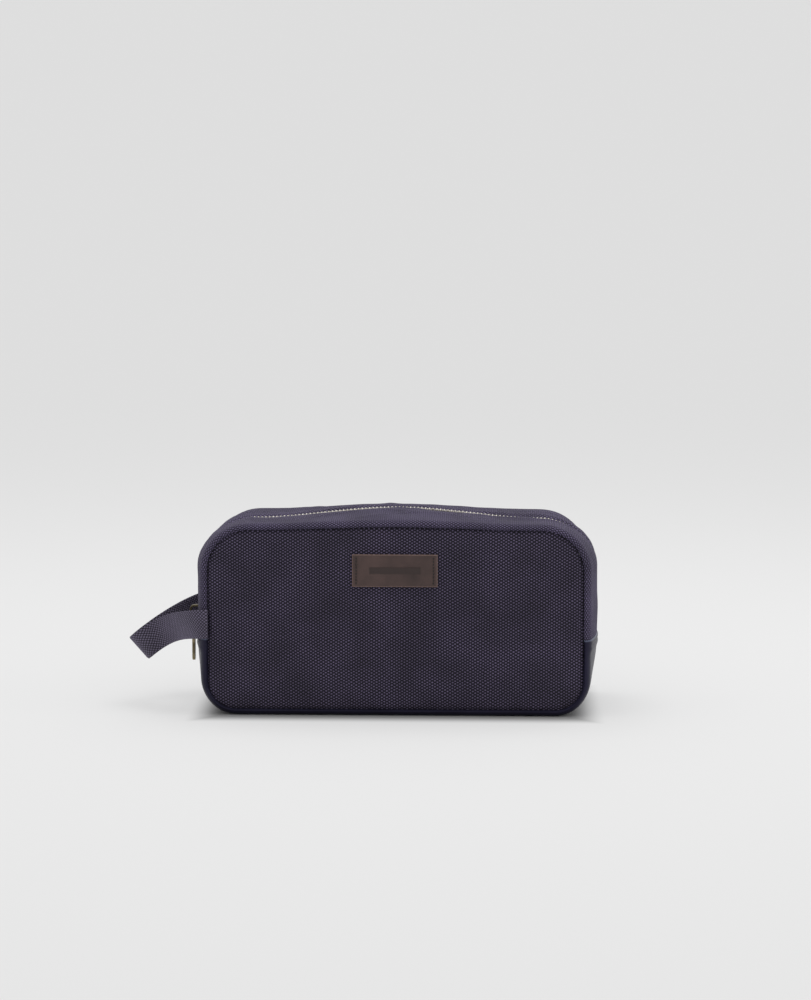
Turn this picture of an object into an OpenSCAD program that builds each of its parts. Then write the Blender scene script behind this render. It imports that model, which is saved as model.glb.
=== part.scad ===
// Soft wash bag for a shaving kit: canvas panels set into a rolled gusset, a
// leather base, a metal zip over the crown and a webbing hand loop at the left
// end. Millimetres, +Z up, front towards -Y, standing on z = 0.

/* [Body] */
// Width between the two end seams
seam_w = 256; // [180:1:330]
// Height between the bottom and top seams of a panel
seam_h = 123; // [90:1:160]
// Depth between the front and back seams
depth = 104; // [70:1:150]
// Corner radius of the panels at the top
top_r = 28; // [15:1:40]
// Corner radius of the panels at the bottom
low_r = 19; // [8:1:30]
// Rise of the top seam at mid-width
top_arch = 2; // [0:0.5:6]
// Bulge of each panel at its middle
crown = 3; // [0:0.5:8]
// Width of the rolled edge outside the panel seam
roll_w = 4.5; // [3:0.5:9]
// Depth of the rolled edge
roll_d = 5; // [3:0.5:9]
// Further bulge of the ends at the zip
end_bulge = 6.5; // [0:0.5:10]
// Further bulge of the crown at the zip, at mid-width
top_bulge = 5; // [0:0.5:8]

/* [Cloth and leather] */
// Height of the leather base at the ends
leather_h = 53; // [35:1:60]
// Height of the soft band the bag folds open along
fold_h = 20; // [14:1:24]
// Thickness of the padded canvas
canvas_t = 1.6; // [1:0.1:2.5]
// Thickness of the leather
leather_t = 2; // [1.2:0.1:3]
// Thickness of the lining
lining_t = 0.8; // [0.5:0.1:1.5]
// Clear gap between neighbouring pieces
gap = 0.3; // [0.2:0.05:0.6]

/* [Zip] */
// Width of the slot between the two gusset strips
slot_w = 9; // [8.8:0.2:14]
// Width of one zip tape
tape_w = 10; // [8:0.5:16]
// Thickness of the zip tape
tape_t = 0.8; // [0.4:0.1:1.2]
// Pitch of one row of teeth
tooth_pitch = 2.6; // [2.4:0.1:4]
// Thickness of a tooth along the zip
tooth_t = 1; // [0.7:0.05:1]
// Width of a tooth across the zip
tooth_w = 2.7; // [2:0.1:3]
// Height of a tooth
tooth_h = 2.4; // [1.6:0.1:3]
// Length of the slider
slider_l = 14; // [10:0.5:18]
// Width of the slider
slider_w = 7.8; // [7:0.1:8]
// Thickness of a slider plate
plate_t = 1.4; // [1:0.1:2]
// Length of the puller below its pivot
puller_l = 30; // [20:1:42]
// Width of the puller
puller_w = 6.4; // [5.8:0.2:10]
// Thickness of the puller
puller_t = 1.8; // [1.2:0.1:2.4]

/* [Hand loop] */
// Width of the webbing
web_w = 20; // [15:1:24]
// Thickness of the webbing
web_t = 1.4; // [1:0.1:2]
// Reach of the loop from the seam
loop_reach = 54; // [45:1:80]
// Drop of the loop's far end
loop_drop = 25; // [0:1:32]
// Radius of the loop's far end
loop_r = 10; // [8:0.5:16]

/* [Patch] */
// Width of the leather patch
patch_w = 58; // [30:1:90]
// Height of the leather patch
patch_h = 22; // [14:1:34]
// Thickness of the leather patch
patch_t = 1.6; // [1:0.1:2.5]
// Height of the patch's centre below the top seam
patch_drop = 26.8; // [20:0.2:40]
// Number of stitches down each end of the patch
patch_stitches_n = 9; // [5:1:12]

/* [Show] */

/* [Hidden] */

hw = seam_w / 2;                       // half width at the seam
hd = depth / 2;                        // half depth at the seam
zb = roll_w;                           // bottom seam, so the leather stands on z = 0
zt = zb + seam_h;                      // top seam
zc = (zb + zt) / 2;
fold_lo = leather_h;                   // the fold band's lower and upper cut
fold_hi = leather_h + fold_h;
fade_z = 0.85 * leather_h;             // the ends' bulge fades out below this
arc_n = 6;                             // steps round a corner
leg_n = 2;                             // steps up an end
span_n = 8;                            // steps along the top or bottom
roll_n = 3;                            // steps round the rolled edge
flat_n = 4;                            // steps from the roll to the zip
tape_in = tooth_w + 0.1;               // the tape's inner edge from the zip's centre
tooth_over = 0.5;                      // how far a tooth reaches past the centre
tape_d = canvas_t + gap;               // depth of the tape's outer face in the gusset
zip_d = tape_d + tape_t / 2;           // depth of the zip's middle plane
gusset_lining_d = tape_d + tape_t + gap;
base_lining_d = leather_t + gap;
panel_lining_d = canvas_t + gap;
lining_from = 2;                       // roll step at which a gusset lining starts
bow_power = 3;                         // how flat the middle of a bulged panel is
corner_power = 4;                      // how fast the ends' bulge dies out round a corner
overlap = 0.1;                         // how far joined solids run into each other
round_fn = 32;                         // facets round a small circle

canvas_col = [0.22, 0.20, 0.28];
leather_col = [0.16, 0.16, 0.20];
lining_col = [0.35, 0.34, 0.38];
brass_col = [0.70, 0.60, 0.42];
thread_col = [0.25, 0.23, 0.30];
web_col = [0.26, 0.24, 0.31];
patch_col = [0.29, 0.22, 0.20];

// ---- paths round the seam: each entry is [x, z, normal x, normal z] ----
function arc(cx, cz, r, a0, a1) =
    [for (i = [1:arc_n]) let (a = a0 + (a1 - a0) * i / arc_n)
        [cx + r * cos(a), cz + r * sin(a), cos(a), sin(a)]];
function leg(side, z0, z1, n) =
    [for (i = [0:n]) [side * hw, z0 + (z1 - z0) * i / n, side, 0]];
function arched(x) = zt + top_arch * pow(cos(90 * x / (hw - top_r)), 2);
function upper_path() = concat(
    leg(-1, fold_hi + gap / 2, zt - top_r, leg_n),
    arc(-hw + top_r, zt - top_r, top_r, 180, 90),
    [for (i = [1:span_n]) let (x = (hw - top_r) * (2 * i / span_n - 1)) [x, arched(x), 0, 1]],
    arc(hw - top_r, zt - top_r, top_r, 90, 0),
    [for (i = [1:leg_n]) leg(1, zt - top_r, fold_hi + gap / 2, leg_n)[i]]);
function lower_path() = concat(
    leg(-1, fold_lo - gap / 2, zb + low_r, leg_n + 1),
    arc(-hw + low_r, zb + low_r, low_r, 180, 270),
    [for (i = [1:span_n]) [(hw - low_r) * (2 * i / span_n - 1), zb, 0, -1]],
    arc(hw - low_r, zb + low_r, low_r, 270, 360),
    [for (i = [1:leg_n + 1]) leg(1, zb + low_r, fold_lo - gap / 2, leg_n + 1)[i]]);
function fold_path(side) = leg(side, fold_lo + gap / 2, fold_hi - gap / 2, leg_n);

// ---- the gusset's section: each entry is [offset, depth behind the seam, normal] ----
function fade(z) = let (t = min(1, z / fade_z)) t * t * (3 - 2 * t);
function crown_rise(x) = top_bulge * pow(cos(90 * x / (hw - top_r)), 2);
function bulge(p) = end_bulge * pow(abs(p[2]), corner_power) * fade(p[1]) + (p[3] == 1 ? crown_rise(p[0]) : 0);
function swell(b, s) = b * (1 - pow(1 - s / hd, 2));
function swell_rate(b, s) = 2 * b * (1 - s / hd) / hd;
function entry(o, s, to, ts) = let (m = norm([to, ts])) [o, s, ts / m, -to / m];
function roll(b) = [for (i = [0:roll_n])
    let (a = 90 * i / roll_n, s = roll_d * (1 - cos(a)))
        entry(roll_w * sin(a) + swell(b, s), s,
            roll_w * cos(a) + swell_rate(b, s) * roll_d * sin(a), roll_d * sin(a))];
function flat(b, s0, s1, n) = [for (i = [0:n]) let (s = s0 + (s1 - s0) * i / n)
    entry(roll_w + swell(b, s), s, swell_rate(b, s), 1)];
function section(b, s1, from) = concat(
    [for (i = [from:roll_n]) roll(b)[i]],
    [for (i = [1:flat_n]) flat(b, roll_d, s1, flat_n)[i]]);
function both_sides(q) = concat(q,
    [for (i = [len(q) - 2:-1:0]) [q[i][0], 2 * hd - q[i][1], q[i][2], -q[i][3]]]);
function place(p, q, d) = let (o = q[0] - d * q[2], s = q[1] - d * q[3])
    [p[0] + p[2] * o, s - hd, p[1] + p[3] * o];

// ---- a closed solid between two grids of points ----
function quad(a, b, c, d) = [[a, c, b], [a, d, c]];
module sheet(outer, inner) {
    rows = len(outer);
    cols = len(outer[0]);
    n = rows * cols;
    polyhedron(
        points = concat([for (r = outer) each r], [for (r = inner) each r]),
        faces = concat(
            [for (i = [0:rows - 2], j = [0:cols - 2])
                each quad(i * cols + j, (i + 1) * cols + j, (i + 1) * cols + j + 1, i * cols + j + 1)],
            [for (i = [0:rows - 2], j = [0:cols - 2])
                each quad(n + i * cols + j, n + i * cols + j + 1, n + (i + 1) * cols + j + 1, n + (i + 1) * cols + j)],
            [for (j = [0:cols - 2]) each quad(j, j + 1, n + j + 1, n + j)],
            [for (j = [0:cols - 2]) each quad((rows - 1) * cols + j, n + (rows - 1) * cols + j,
                n + (rows - 1) * cols + j + 1, (rows - 1) * cols + j + 1)],
            [for (i = [0:rows - 2]) each quad(i * cols, n + i * cols, n + (i + 1) * cols, (i + 1) * cols)],
            [for (i = [0:rows - 2]) each quad(i * cols + cols - 1, (i + 1) * cols + cols - 1,
                n + (i + 1) * cols + cols - 1, n + i * cols + cols - 1)]));
}
module strip(path, s1, d0, d1, from = 0) {
    sheet([for (p = path) [for (q = section(bulge(p), s1, from)) place(p, q, d0)]],
        [for (p = path) [for (q = section(bulge(p), s1, from)) place(p, q, d1)]]);
}
module tape(path) {
    sheet([for (p = path) [for (q = flat(bulge(p), hd - tape_in - tape_w, hd - tape_in, 2)) place(p, q, tape_d)]],
        [for (p = path) [for (q = flat(bulge(p), hd - tape_in - tape_w, hd - tape_in, 2)) place(p, q, tape_d + tape_t)]]);
}

// ---- panels: columns of points between a lower and an upper edge ----
function bow(x, z) = crown * (1 - pow(min(1, abs(x) / hw), bow_power))
    * (1 - pow(min(1, abs(z - zc) / (seam_h / 2)), bow_power));
function panel_grid(edges, rows, d) = [for (i = [0:rows]) [for (e = edges)
    let (z = e[1] + (e[2] - e[1]) * i / rows) [e[0], d - hd - bow(e[0], z), z]]];
module panel(edges, rows, d, t) {
    sheet(panel_grid(edges, rows, d + t), panel_grid(edges, rows, d));
}
// the panel's outline drawn in by e, column by column; up is 1 for the top, -1 for the bottom
function corner_columns(cz, r, up, e) = let (w = hw - r)
    concat(
        [for (i = [0:arc_n]) let (a = 90 * i / arc_n) [-w - (r - e) * cos(a), cz + up * (r - e) * sin(a)]],
        [for (i = [1:span_n - 1]) let (x = w * (2 * i / span_n - 1)) [x, (up > 0 ? arched(x) : cz - r) - up * e]],
        [for (i = [arc_n:-1:0]) let (a = 90 * i / arc_n) [w + (r - e) * cos(a), cz + up * (r - e) * sin(a)]]);
function upper_edges(e) = [for (c = corner_columns(zt - top_r, top_r, 1, e)) [c[0], fold_hi + gap / 2, c[1]]];
function lower_edges(e) = [for (c = corner_columns(zb + low_r, low_r, -1, e)) [c[0], c[1], fold_lo - gap / 2]];
function fold_edges(e) = [for (i = [0:span_n]) [(hw - e) * (2 * i / span_n - 1), fold_lo + gap / 2, fold_hi - gap / 2]];
lining_inset = 2 * gap;

module front_and_back(back) {
    mirror([0, back ? 1 : 0, 0]) children();
}

// ---- leather base, its stitching and its lining ----
// The base's path runs the other way round, so its inner face is given first.
module base_strip(d0, d1, from) {
    sheet([for (p = lower_path()) [for (q = both_sides(section(bulge(p), hd, from))) place(p, q, d1)]],
        [for (p = lower_path()) [for (q = both_sides(section(bulge(p), hd, from))) place(p, q, d0)]]);
}
module leather_base() {
    color(leather_col) base_strip(0, leather_t, 0);
}
edge_stitch = [0.5, 2.2, 0.6];         // size of one stitch along the leather's top edge
edge_stitch_pitch = 3.4;
edge_stitch_drop = 3;                  // below the leather's top edge
module leather_edge_stitches() {
    count = floor((depth - 4 * roll_d - slot_w) / 2 / edge_stitch_pitch);
    z = leather_h - edge_stitch_drop;
    color(thread_col)
        for (side = [-1, 1], back = [-1, 1], i = [0:count - 1]) {
            y = back * (slot_w / 2 + (i + 0.5) * edge_stitch_pitch);
            s = hd - abs(y);
            b = end_bulge * fade(z);
            translate([side * (hw + roll_w + swell(b, s) + edge_stitch[0]), y, z])
                cube(edge_stitch, center = true);
        }
}
module base_lining() {
    color(lining_col) base_strip(base_lining_d, base_lining_d + lining_t, lining_from);
}

// ---- front and back panels below the fold band ----
module panel_lower(back) {
    color(canvas_col) front_and_back(back) panel(lower_edges(gap), 3, 0, canvas_t);
}
module lining_lower(back) {
    color(lining_col) front_and_back(back) panel(lower_edges(lining_inset), 3, panel_lining_d, lining_t);
}
module front_panel_lower() { panel_lower(false); }
module back_panel_lower() { panel_lower(true); }
module front_lining_lower() { lining_lower(false); }
module back_lining_lower() { lining_lower(true); }

// ---- the fold band, which bends when the bag opens ----
module panel_fold(back) {
    color(canvas_col) front_and_back(back) panel(fold_edges(gap), 2, 0, canvas_t);
}
module gusset_fold(back) {
    color(canvas_col) front_and_back(back)
        for (side = [-1, 1]) mirror([side > 0 ? 1 : 0, 0, 0])
            strip(fold_path(-1), hd - slot_w / 2, 0, canvas_t);
}
module lining_fold(back) {
    color(lining_col) front_and_back(back) {
        panel(fold_edges(lining_inset), 2, panel_lining_d, lining_t);
        for (side = [-1, 1]) mirror([side > 0 ? 1 : 0, 0, 0])
            strip(fold_path(-1), hd - slot_w / 2 - gap, gusset_lining_d, gusset_lining_d + lining_t, lining_from);
    }
}
module front_panel_fold() { panel_fold(false); }
module back_panel_fold() { panel_fold(true); }
module front_gusset_fold() { gusset_fold(false); }
module back_gusset_fold() { gusset_fold(true); }
module front_lining_fold() { lining_fold(false); }
module back_lining_fold() { lining_fold(true); }
module zip_tape_fold() {
    color(web_col)
        for (back = [false, true], side = [-1, 1])
            front_and_back(back) mirror([side > 0 ? 1 : 0, 0, 0]) tape(fold_path(-1));
}

// ---- zip teeth: each entry is [x, z, angle of the outward normal] ----
zip_x = hw + roll_w + end_bulge - zip_d;         // the straight ends' zip plane
half_pitch = tooth_pitch / 2;
divider_l = 3.6;                                 // the slider's dividing post
divider_w = 1.6;
slider_z = fold_lo + 1;                          // the slider's low end at rest
mouth_gap = 1.6;                                 // from the dividing post to the first closed tooth
teeth_from = slider_z + divider_l + mouth_gap;
right_teeth_from = fold_lo + 1.5;
arc_step = 3;                                    // degrees between the zip's measured places
function zip_r(a) = top_r + roll_w + end_bulge * pow(cos(a), corner_power) - zip_d;
function zip_at(a) = zip_r(a) * [cos(a), sin(a)];
function run_to(a) = a <= 0 ? 0 : run_to(a - arc_step) + norm(zip_at(a) - zip_at(a - arc_step));
arc_table = [for (a = [0:arc_step:90]) [run_to(a), a]];
arc_len = run_to(90);
arc_teeth = round(arc_len / half_pitch);
crown_teeth = 2 * round((hw - top_r) / half_pitch);
leg_len = zt - top_r - fold_hi;
leg_teeth = floor((leg_len - half_pitch / 2) / half_pitch);
function leg_tooth(side, k) = [side * zip_x, zt - top_r - (k + 0.5) * half_pitch, side > 0 ? 0 : 180];
function arc_tooth(side, k) = let (a = lookup(arc_len * (k + 0.5) / arc_teeth, arc_table), p = zip_at(a))
    [side * (hw - top_r + p[0]), zt - top_r + p[1], side > 0 ? a : 180 - a];
function crown_tooth(k) = let (x = (hw - top_r) * ((2 * k + 1) / crown_teeth - 1))
    [x, arched(x) + roll_w + crown_rise(x) - zip_d, 90];
module tooth(t, back) {
    translate([t[0], 0, t[1]]) rotate([0, -t[2], 0])
        translate([-tooth_h / 2, back ? -tooth_over : tooth_over - tooth_w, -tooth_t / 2])
            cube([tooth_h, tooth_w, tooth_t]);
}
// The count runs unbroken from the left end to the right, so that the two rows
// take alternate places all the way round.
module leg_row(back) {
    for (k = [0:leg_teeth - 1])
        if ((leg_teeth - 1 - k) % 2 == (back ? 1 : 0)) tooth(leg_tooth(-1, k), back);
}
module zip_row(back) {
    odd = back ? 1 : 0;
    for (k = [0:arc_teeth - 1])
        if ((leg_teeth + k) % 2 == odd) tooth(arc_tooth(-1, k), back);
    for (k = [0:crown_teeth - 1])
        if ((leg_teeth + arc_teeth + k) % 2 == odd) tooth(crown_tooth(k), back);
    for (k = [0:arc_teeth - 1])
        if ((leg_teeth + arc_teeth + crown_teeth + arc_teeth - 1 - k) % 2 == odd) tooth(arc_tooth(1, k), back);
    for (k = [0:leg_teeth - 1])
        if ((leg_teeth + 2 * arc_teeth + crown_teeth + k) % 2 == odd) tooth(leg_tooth(1, k), back);
}
module zip_teeth_fold() {
    color(brass_col)
        for (side = [-1, 1]) {
            low = side < 0 ? teeth_from : right_teeth_from;
            top = zt - top_r - leg_teeth * half_pitch;
            count = floor((top - low) / half_pitch);
            for (k = [0:count - 1])
                tooth([side * zip_x, top - (k + 0.5) * half_pitch, side > 0 ? 0 : 180],
                    (side < 0 ? k + 1 : leg_teeth + crown_teeth + leg_teeth + k) % 2 == 1);
        }
}

// ---- the two halves that open ----
module half_panel(back) {
    color(canvas_col) front_and_back(back) panel(upper_edges(gap), 5, 0, canvas_t);
}
module half_gusset(back) {
    color(canvas_col) front_and_back(back) strip(upper_path(), hd - slot_w / 2, 0, canvas_t);
}
module half_lining(back) {
    color(lining_col) front_and_back(back) panel(upper_edges(lining_inset), 5, panel_lining_d, lining_t);
}
module half_gusset_lining(back) {
    color(lining_col) front_and_back(back)
        strip(upper_path(), hd - slot_w / 2 - gap, gusset_lining_d, gusset_lining_d + lining_t, lining_from);
}
module half_tape(back) {
    color(web_col) front_and_back(back) tape(upper_path());
}
module front_panel() { half_panel(false); }
module back_panel() { half_panel(true); }
module front_gusset() { half_gusset(false); }
module back_gusset() { half_gusset(true); }
module front_lining() { half_lining(false); }
module back_lining() { half_lining(true); }
module front_gusset_lining() { half_gusset_lining(false); }
module back_gusset_lining() { half_gusset_lining(true); }
module front_zip_tape() { half_tape(false); }
module back_zip_tape() { half_tape(true); }
module front_zip_teeth() { color(brass_col) zip_row(false); }
module back_zip_teeth() { color(brass_col) zip_row(true); }
module front_zip_teeth_leg() { color(brass_col) leg_row(false); }
module back_zip_teeth_leg() { color(brass_col) leg_row(true); }

// ---- leather patch with a plain pressed bar ----
patch_z = zt - patch_drop;
patch_lean = atan((bow(0, patch_z - patch_h / 2) - bow(0, patch_z + patch_h / 2)) / patch_h);
patch_lift = 2 * gap;
bar_w = 0.6 * patch_w;
bar_h = 0.2 * patch_h;
bar_d = 0.4;
stitch_in = 2.7;                       // stitch rows from the patch's ends
stitch_end = 1.5;                      // stitch rows from the patch's top and bottom
stitch = [0.6, 0.5, 1.4];
stitch_float = 0.05;                   // clear of the leather
module on_panel() {
    translate([0, -hd - bow(0, patch_z) - patch_lift, patch_z]) rotate([-patch_lean, 0, 0]) children();
}
module patch() {
    color(patch_col) on_panel()
        difference() {
            translate([-patch_w / 2, -patch_t, -patch_h / 2]) cube([patch_w, patch_t, patch_h]);
            translate([-bar_w / 2, -patch_t - 1, -bar_h / 2]) cube([bar_w, 1 + bar_d, bar_h]);
        }
}
module patch_stitches() {
    pitch = (patch_h - 2 * stitch_end) / patch_stitches_n;
    color(patch_col) on_panel()
        for (side = [-1, 1], i = [0:patch_stitches_n - 1])
            translate([side * (patch_w / 2 - stitch_in), -patch_t - stitch[1] / 2 - stitch_float,
                (i - (patch_stitches_n - 1) / 2) * pitch])
                cube(stitch, center = true);
}

// ---- slider: two plates joined by the dividing post, and the arched bridge ----
plate_gap = tooth_h / 2 + gap;         // each plate from the zip's middle plane
lip_w = (slider_w - 2 * (tooth_w - tooth_over + gap)) / 2;
lip_h = plate_gap - tape_t / 2 - gap;
bridge_w = 2.6;
bridge_bar = 1.4;
bridge_z0 = 3;                         // the bridge's low end above the slider's
bridge_l = 12;
bridge_rise = 6.7;
bridge_r = 3.4;                        // the bridge's outer corners
pivot_out = 3.9;                       // the puller's pivot beyond the outer plate
pivot_up = 1.2;                        // the pivot above the bridge's low bar
divider_lift = 0.4;                    // the dividing post above the plates' low end
pivot_x = -zip_x - plate_gap - plate_t - pivot_out;
pivot_z = slider_z + bridge_z0 + bridge_bar + pivot_up;
module plate(dir) {
    translate([dir > 0 ? plate_gap : -plate_gap - plate_t, -slider_w / 2, 0])
        cube([plate_t, slider_w, slider_l]);
    for (side = [-1, 1])
        translate([dir > 0 ? plate_gap - lip_h : -plate_gap, side > 0 ? slider_w / 2 - lip_w : -slider_w / 2, 0])
            cube([lip_h, lip_w, slider_l]);
}
module bridge_shape(inset_by) {
    r = bridge_r - inset_by;
    translate([0, inset_by]) square([bridge_rise - inset_by - r, bridge_l - 2 * inset_by]);
    translate([0, inset_by + r]) square([bridge_rise - inset_by, bridge_l - 2 * inset_by - 2 * r]);
    for (z = [inset_by + r, bridge_l - inset_by - r])
        translate([bridge_rise - inset_by - r, z]) circle(r = r, $fn = round_fn);
}
module slider() {
    color(brass_col) translate([-zip_x, 0, slider_z]) mirror([1, 0, 0]) {
        plate(1);
        plate(-1);
        translate([-plate_gap - overlap, -divider_w / 2, divider_lift])
            cube([2 * (plate_gap + overlap), divider_w, divider_l - divider_lift]);
        translate([plate_gap + plate_t - overlap, bridge_w / 2, bridge_z0]) rotate([90, 0, 0])
            linear_extrude(bridge_w) difference() {
                bridge_shape(0);
                translate([-1, 0]) square([1, bridge_l]);
                difference() {
                    bridge_shape(bridge_bar);
                    translate([-1, 0]) square([1 + overlap, bridge_l]);
                }
            }
    }
}

// ---- puller: an eye round the bridge's low end and a long flat blade ----
eye_h = 6.2;                           // from the pivot to the top of the blade
eye_bar = 1.3;
module puller() {
    color(brass_col) translate([pivot_x, 0, pivot_z]) {
        rotate([90, 0, 0]) cylinder(h = puller_w, r = eye_bar / 2, center = true, $fn = round_fn);
        for (side = [-1, 1])
            translate([-eye_bar / 2, side > 0 ? puller_w / 2 - eye_bar : -puller_w / 2, -eye_h])
                cube([eye_bar, eye_bar, eye_h]);
        translate([-puller_t / 2, -puller_w / 2, -puller_l + puller_w / 2])
            cube([puller_t, puller_w, puller_l - puller_w / 2 - eye_h]);
        translate([0, 0, -puller_l + puller_w / 2]) rotate([0, 90, 0])
            cylinder(h = puller_t, r = puller_w / 2, center = true, $fn = round_fn);
    }
}

// ---- hand loop of webbing, sewn into the front and back seams ----
loop_z = fold_lo + fold_h / 2;
loop_cut = 15;                         // the sewn ends reach this far from the seam
loop_n = 12;
end_n = 4;
turn_n = 8;
loop_run = loop_reach - loop_r;
loop_stand = 0.3;                      // the sewn ends stand this far beyond the clear gap
loop_out = hd + gap + web_t / 2 + loop_stand;
droop = 1.9;                           // power of the loop's drop along its reach
function drop_at(u) = loop_drop * pow(u / loop_reach, droop);
function droop_at(u) = atan(droop * loop_drop / loop_reach * pow(max(0, u) / loop_reach, droop - 1));
function side_at(u) = loop_r + (loop_out - loop_r) * pow(cos(90 * min(1, u / loop_run)), 2);
// one point of the loop's middle line: [reach, sideways, plan normal]
function leg_point(u) = let (e = 0.5, m = (side_at(u + e) - side_at(u - e)) / (2 * e), k = norm([1, m]))
    [u, side_at(u), -m / k, 1 / k];
function turn_point(a) = [loop_run + loop_r * sin(a), loop_r * cos(a), sin(a), cos(a)];
function web_edge(c, out, up) = let (u = c[0] + out * c[2] * web_t / 2, f = droop_at(c[0]), w = up * web_w / 2)
    [-hw - u - w * sin(f), -(c[1] + out * c[3] * web_t / 2), loop_z - drop_at(c[0]) + w * cos(f)];
module web(points) {
    sheet([for (c = points) [for (w = [-1, 0, 1]) web_edge(c, -1, w)]],
        [for (c = points) [for (w = [-1, 0, 1]) web_edge(c, 1, w)]]);
}
module loop_end(back) {
    color(web_col) front_and_back(back)
        web([for (i = [0:end_n]) leg_point((loop_cut - gap) * i / end_n)]);
}
module loop_end_front() { loop_end(false); }
module loop_end_back() { loop_end(true); }
module hand_loop() {
    color(web_col)
        web(concat(
            [for (i = [0:loop_n]) leg_point(loop_cut + (loop_run - loop_cut) * i / loop_n)],
            [for (i = [1:turn_n - 1]) turn_point(180 * i / turn_n)],
            [for (i = [loop_n:-1:0]) let (c = leg_point(loop_cut + (loop_run - loop_cut) * i / loop_n)) [c[0], -c[1], c[2], -c[3]]]));
}

leather_base();
leather_edge_stitches();
base_lining();
front_panel_lower();
back_panel_lower();
front_lining_lower();
back_lining_lower();
front_panel_fold();
back_panel_fold();
front_gusset_fold();
back_gusset_fold();
front_lining_fold();
back_lining_fold();
zip_tape_fold();
zip_teeth_fold();
front_panel();
front_gusset();
front_lining();
front_gusset_lining();
front_zip_tape();
front_zip_teeth();
front_zip_teeth_leg();
patch();
patch_stitches();
back_panel();
back_gusset();
back_lining();
back_gusset_lining();
back_zip_tape();
back_zip_teeth();
back_zip_teeth_leg();
slider();
puller();
loop_end_front();
loop_end_back();
hand_loop();
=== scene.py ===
import math

import bpy
import numpy as np
from mathutils import Matrix, Vector, noise


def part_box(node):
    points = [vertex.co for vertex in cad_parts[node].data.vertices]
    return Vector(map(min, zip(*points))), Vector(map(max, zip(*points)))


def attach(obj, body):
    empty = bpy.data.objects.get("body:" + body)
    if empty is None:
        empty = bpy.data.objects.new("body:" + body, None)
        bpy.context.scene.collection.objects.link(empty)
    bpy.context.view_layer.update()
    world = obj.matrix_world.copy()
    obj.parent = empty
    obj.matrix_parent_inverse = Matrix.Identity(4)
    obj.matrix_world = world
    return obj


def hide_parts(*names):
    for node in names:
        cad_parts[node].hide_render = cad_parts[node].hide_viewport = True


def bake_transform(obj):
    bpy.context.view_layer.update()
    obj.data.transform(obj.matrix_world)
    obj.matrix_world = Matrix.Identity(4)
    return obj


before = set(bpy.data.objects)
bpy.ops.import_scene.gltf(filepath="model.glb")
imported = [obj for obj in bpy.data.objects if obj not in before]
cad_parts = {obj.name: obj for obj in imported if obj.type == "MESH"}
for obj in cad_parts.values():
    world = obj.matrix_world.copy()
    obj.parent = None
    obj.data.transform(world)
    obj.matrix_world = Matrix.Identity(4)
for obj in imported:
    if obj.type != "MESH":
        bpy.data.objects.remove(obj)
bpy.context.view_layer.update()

# --- Studio: floor, light and camera ---------------------------------------------------------
# A pale sweep of glowing paper, even from end to end so that only a tight shadow shows, partly a
# painted contact shadow under the bag, with one overhead softbox to lift the crown and a strip on the right
# for the leather's sheen.
MM = 0.001


def linear(hex_colour):
    """A hex sRGB colour as linear red, green, blue and alpha."""
    parts = [int(hex_colour[i:i + 2], 16) / 255 for i in (1, 3, 5)]
    return [c / 12.92 if c <= 0.04045 else ((c + 0.055) / 1.055) ** 2.4 for c in parts] + [1.0]


def new_material(name):
    """An empty node material and its node tree."""
    material = bpy.data.materials.new(name)
    material.use_nodes = True
    material.node_tree.nodes.clear()
    return material, material.node_tree


def add(tree, kind, links=(), **settings):
    """A node of that kind: links is {input: socket to join}, settings are attributes or input values."""
    node = tree.nodes.new("ShaderNode" + kind)
    for key, value in settings.items():
        if key.startswith("in_"):
            name = key[3:]
            node.inputs[int(name) if name.isdigit() else name.replace("_", " ")].default_value = value
        else:
            setattr(node, key, value)
    for key, socket in dict(links).items():
        tree.links.new(socket, node.inputs[key])
    return node


def select_only(*objects):
    """Deselect everything, then select these, with the first one active."""
    bpy.ops.object.select_all(action="DESELECT")
    for o in objects:
        o.select_set(True)
    bpy.context.view_layer.objects.active = objects[0]


GLOW = 0.46                             # how much of the paper's brightness is a painted glow, which also fills in its shadows
PAINTED_SHADOW_X, PAINTED_SHADOW_Y = 0.114, 0.047           # half the width and depth of the painted contact shadow under the bag
PAINTED_SHADOW_SOFT = (0.006, 0.030)              # the painted shadow fades back into the glow between these distances past that

# Seamless paper: matt, with an even painted glow that is taken away under the bag as a painted contact
# shadow.
paper, tree = new_material("seamless studio paper, matt, lit from behind")
place = add(tree, "TexCoord")
sides = add(tree, "SeparateXYZ", {"Vector": place.outputs["Object"]})
past = []
for side, half in (("X", PAINTED_SHADOW_X), ("Y", PAINTED_SHADOW_Y)):
    size = add(tree, "Math", {0: sides.outputs[side]}, operation="ABSOLUTE")
    past.append(add(tree, "Math", {0: size.outputs[0]}, operation="SUBTRACT", in_1=half).outputs[0])
nearest = add(tree, "Math", {0: past[0], 1: past[1]}, operation="MAXIMUM")
# painted contact shadow: the glow falls to nothing inside the bag's footprint
glow = add(tree, "MapRange", {"Value": nearest.outputs[0]}, interpolation_type="SMOOTHSTEP",
           in_1=PAINTED_SHADOW_SOFT[0], in_2=PAINTED_SHADOW_SOFT[1], in_4=GLOW)
shader = add(tree, "BsdfPrincipled", {"Emission Strength": glow.outputs["Result"]}, in_Roughness=1.0,
             in_Specular_IOR_Level=0.0)
shader.inputs["Base Color"].default_value = linear("#9f9f9f")
shader.inputs["Emission Color"].default_value = linear("#ffffff")
add(tree, "OutputMaterial", {"Surface": shader.outputs["BSDF"]})

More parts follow.
